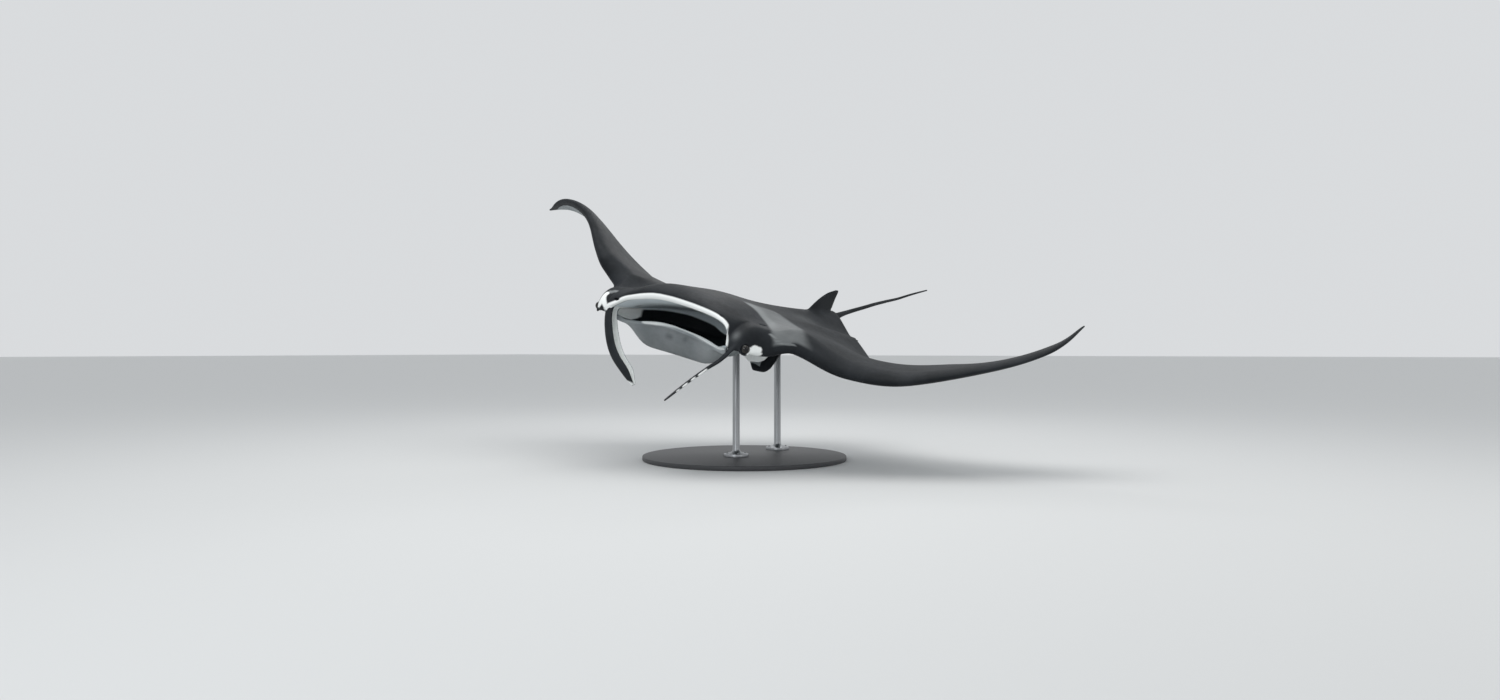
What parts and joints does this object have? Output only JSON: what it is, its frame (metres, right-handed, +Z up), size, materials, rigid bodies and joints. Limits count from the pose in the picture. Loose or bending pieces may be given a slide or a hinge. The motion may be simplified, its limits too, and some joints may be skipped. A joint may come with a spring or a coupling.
{
  "type": "manta ray",
  "caption": "Life-size manta ray feeding with its mouth wide open, banked on curved wings, head fins unrolled, held by two short rods on a round flat stand.",
  "frame": {"origin": "centre of the underside of the round stand, on the floor", "axes": "+Z up; the ray heads along -Y and banks towards +X, its own left side"},
  "size_m": [2.8821, 2.6823, 1.28],
  "materials": {
    "dark_skin": "smooth wet skin, near black, with pale shoulder patches",
    "pale_skin": "smooth wet skin, off-white with dark spots",
    "eye": "wet gloss",
    "stand_steel": "brushed",
    "stand_base": "satin powder coat"
  },
  "bodies": {
    "root": {"head": "dark_skin", "lower_jaw": "pale_skin", "torso": "dark_skin", "pectoral_fin_left_root": "dark_skin", "pectoral_fin_left_middle": "dark_skin", "pectoral_fin_left_tip": "dark_skin", "pectoral_fin_right_root": "dark_skin", "pectoral_fin_right_middle": "dark_skin", "pectoral_fin_right_tip": "dark_skin", "cephalic_fin_left": "pale_skin", "cephalic_fin_right": "pale_skin", "dorsal_fin": "dark_skin", "pelvic_fin_left": "dark_skin", "pelvic_fin_right": "dark_skin", "tail_base": "dark_skin", "tail_middle": "dark_skin", "tail_tip": "dark_skin", "eye_left": "eye", "eye_right": "eye", "stand_base": "stand_base", "stand_rod_front": "stand_steel", "stand_rod_rear": "stand_steel"}
  },
  "joints": []
}
